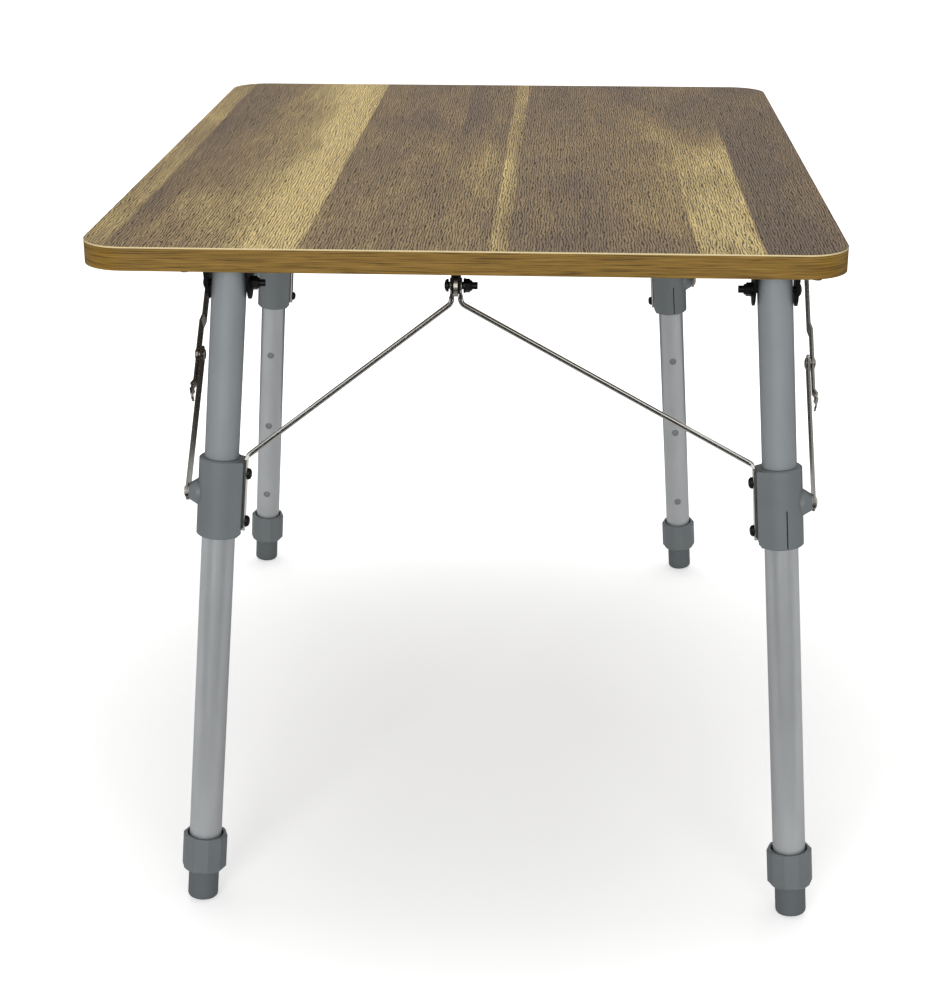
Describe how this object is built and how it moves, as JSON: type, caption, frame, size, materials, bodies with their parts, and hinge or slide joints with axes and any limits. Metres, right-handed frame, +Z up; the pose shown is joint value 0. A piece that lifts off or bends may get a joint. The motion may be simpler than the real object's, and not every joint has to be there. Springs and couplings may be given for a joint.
{
  "type": "folding camping table",
  "caption": "Small camping table with a wood-look board top on two folding pairs of height-adjustable legs, wire braces and locking stays.",
  "frame": {"origin": "on the floor, under the centre of the tabletop", "axes": "+Z up, +Y along the tabletop's length, away from the picture's camera, +X to the right"},
  "size_m": [0.6086, 0.8076, 0.5885],
  "materials": {
    "board": "raw",
    "laminate": "matt embossed",
    "edge_band": "satin",
    "rubber": "matt",
    "black_paint": "satin",
    "white_plastic": "satin",
    "black_steel": "satin",
    "zinc_steel": "plated",
    "upper_tube": "satin",
    "lower_tube": "satin anodised",
    "grey_plastic": "fine grain",
    "foot_plastic": "fine grain",
    "bright_wire": "bright plated",
    "bright_steel": "bright plated"
  },
  "bodies": {
    "tabletop": {"tabletop_board": "board", "top_laminate": "laminate", "edge_band": "edge_band", "rubber_bumpers": "rubber", "leg_bracket_front_left": "black_paint", "leg_bracket_front_right": "black_paint", "leg_bracket_rear_left": "black_paint", "leg_bracket_rear_right": "black_paint", "brace_bracket_front": "black_paint", "brace_bracket_rear": "black_paint", "brace_spacers": "white_plastic", "stay_bracket_front_left": "black_paint", "stay_bracket_front_right": "black_paint", "stay_bracket_rear_left": "black_paint", "stay_bracket_rear_right": "black_paint", "pivot_bolts": "black_steel", "lock_nuts": "black_steel", "wood_screws": "zinc_steel"},
    "front_legs": {"upper_tube_front_left": "upper_tube", "sleeve_front_left": "grey_plastic", "lower_tube_front_left": "lower_tube", "wire_brace_front_left": "bright_wire", "locking_collar_front_left": "grey_plastic", "upper_tube_front_right": "upper_tube", "sleeve_front_right": "grey_plastic", "lower_tube_front_right": "lower_tube", "wire_brace_front_right": "bright_wire", "locking_collar_front_right": "grey_plastic", "strip_screws_front": "black_steel", "stay_rivets_front": "zinc_steel", "collets_front": "white_plastic"},
    "rear_legs": {"upper_tube_rear_left": "upper_tube", "sleeve_rear_left": "grey_plastic", "lower_tube_rear_left": "lower_tube", "wire_brace_rear_left": "bright_wire", "locking_collar_rear_left": "grey_plastic", "upper_tube_rear_right": "upper_tube", "sleeve_rear_right": "grey_plastic", "lower_tube_rear_right": "lower_tube", "wire_brace_rear_right": "bright_wire", "locking_collar_rear_right": "grey_plastic", "strip_screws_rear": "black_steel", "stay_rivets_rear": "zinc_steel", "collets_rear": "white_plastic"},
    "inner_leg_front_left": {"inner_leg_front_left": "lower_tube", "foot_cap_front_left": "foot_plastic"},
    "inner_leg_front_right": {"inner_leg_front_right": "lower_tube", "foot_cap_front_right": "foot_plastic"},
    "inner_leg_rear_left": {"inner_leg_rear_left": "lower_tube", "foot_cap_rear_left": "foot_plastic"},
    "inner_leg_rear_right": {"inner_leg_rear_right": "lower_tube", "foot_cap_rear_right": "foot_plastic"},
    "stay_upper_front_left": {"stay_upper_link_front_left": "bright_steel"},
    "stay_lower_front_left": {"stay_lower_link_front_left": "bright_steel"},
    "stay_upper_front_right": {"stay_upper_link_front_right": "bright_steel"},
    "stay_lower_front_right": {"stay_lower_link_front_right": "bright_steel"},
    "stay_upper_rear_left": {"stay_upper_link_rear_left": "bright_steel"},
    "stay_lower_rear_left": {"stay_lower_link_rear_left": "bright_steel"},
    "stay_upper_rear_right": {"stay_upper_link_rear_right": "bright_steel"},
    "stay_lower_rear_right": {"stay_lower_link_rear_right": "bright_steel"}
  },
  "joints": [
    {"name": "front_fold", "type": "hinge", "parent": "tabletop", "child": "front_legs", "pos_m": [0.0289, -0.3445, 0.5468], "axis": [1, 0, 0], "range_deg": [0, 90]},
    {"name": "rear_fold", "type": "hinge", "parent": "tabletop", "child": "rear_legs", "pos_m": [-0.0289, 0.3445, 0.5468], "axis": [-1, 0, 0], "range_deg": [0, 90]},
    {"name": "height_front_left", "type": "slide", "parent": "front_legs", "child": "inner_leg_front_left", "axis": [0.0729, 0.0789, 0.9942], "range_m": [-0.183, 0]},
    {"name": "height_front_right", "type": "slide", "parent": "front_legs", "child": "inner_leg_front_right", "axis": [-0.0729, 0.0789, 0.9942], "range_m": [-0.183, 0]},
    {"name": "height_rear_left", "type": "slide", "parent": "rear_legs", "child": "inner_leg_rear_left", "axis": [0.0729, -0.0789, 0.9942], "range_m": [-0.183, 0]},
    {"name": "height_rear_right", "type": "slide", "parent": "rear_legs", "child": "inner_leg_rear_right", "axis": [-0.0729, -0.0789, 0.9942], "range_m": [-0.183, 0]},
    {"name": "stay_upper_front_left", "type": "hinge", "parent": "tabletop", "child": "stay_upper_front_left", "pos_m": [-0.2311, -0.1692, 0.5518], "axis": [1, 0, 0], "range_deg": [-40.85, 0]},
    {"name": "stay_lower_front_left", "type": "hinge", "parent": "front_legs", "child": "stay_lower_front_left", "pos_m": [-0.2311, -0.35839, 0.37184], "axis": [1, 0, 0], "range_deg": [0, 40.85]},
    {"name": "stay_upper_front_right", "type": "hinge", "parent": "tabletop", "child": "stay_upper_front_right", "pos_m": [0.2889, -0.1692, 0.5518], "axis": [1, 0, 0], "range_deg": [-40.85, 0]},
    {"name": "stay_lower_front_right", "type": "hinge", "parent": "front_legs", "child": "stay_lower_front_right", "pos_m": [0.2889, -0.35839, 0.37184], "axis": [1, 0, 0], "range_deg": [0, 40.85]},
    {"name": "stay_upper_rear_left", "type": "hinge", "parent": "tabletop", "child": "stay_upper_rear_left", "pos_m": [-0.2889, 0.1692, 0.5518], "axis": [-1, 0, 0], "range_deg": [-40.85, 0]},
    {"name": "stay_lower_rear_left", "type": "hinge", "parent": "rear_legs", "child": "stay_lower_rear_left", "pos_m": [-0.2889, 0.35839, 0.37184], "axis": [-1, 0, 0], "range_deg": [0, 40.85]},
    {"name": "stay_upper_rear_right", "type": "hinge", "parent": "tabletop", "child": "stay_upper_rear_right", "pos_m": [0.2311, 0.1692, 0.5518], "axis": [-1, 0, 0], "range_deg": [-40.85, 0]},
    {"name": "stay_lower_rear_right", "type": "hinge", "parent": "rear_legs", "child": "stay_lower_rear_right", "pos_m": [0.2311, 0.35839, 0.37184], "axis": [-1, 0, 0], "range_deg": [0, 40.85]}
  ],
  "couplings": [
    {"joint": "stay_upper_front_left", "follows": "front_fold", "ratio": -0.45389},
    {"joint": "stay_lower_front_left", "follows": "front_fold", "ratio": 0.45389},
    {"joint": "stay_upper_front_right", "follows": "front_fold", "ratio": -0.45389},
    {"joint": "stay_lower_front_right", "follows": "front_fold", "ratio": 0.45389},
    {"joint": "stay_upper_rear_left", "follows": "rear_fold", "ratio": -0.45389},
    {"joint": "stay_lower_rear_left", "follows": "rear_fold", "ratio": 0.45389},
    {"joint": "stay_upper_rear_right", "follows": "rear_fold", "ratio": -0.45389},
    {"joint": "stay_lower_rear_right", "follows": "rear_fold", "ratio": 0.45389}
  ]
}
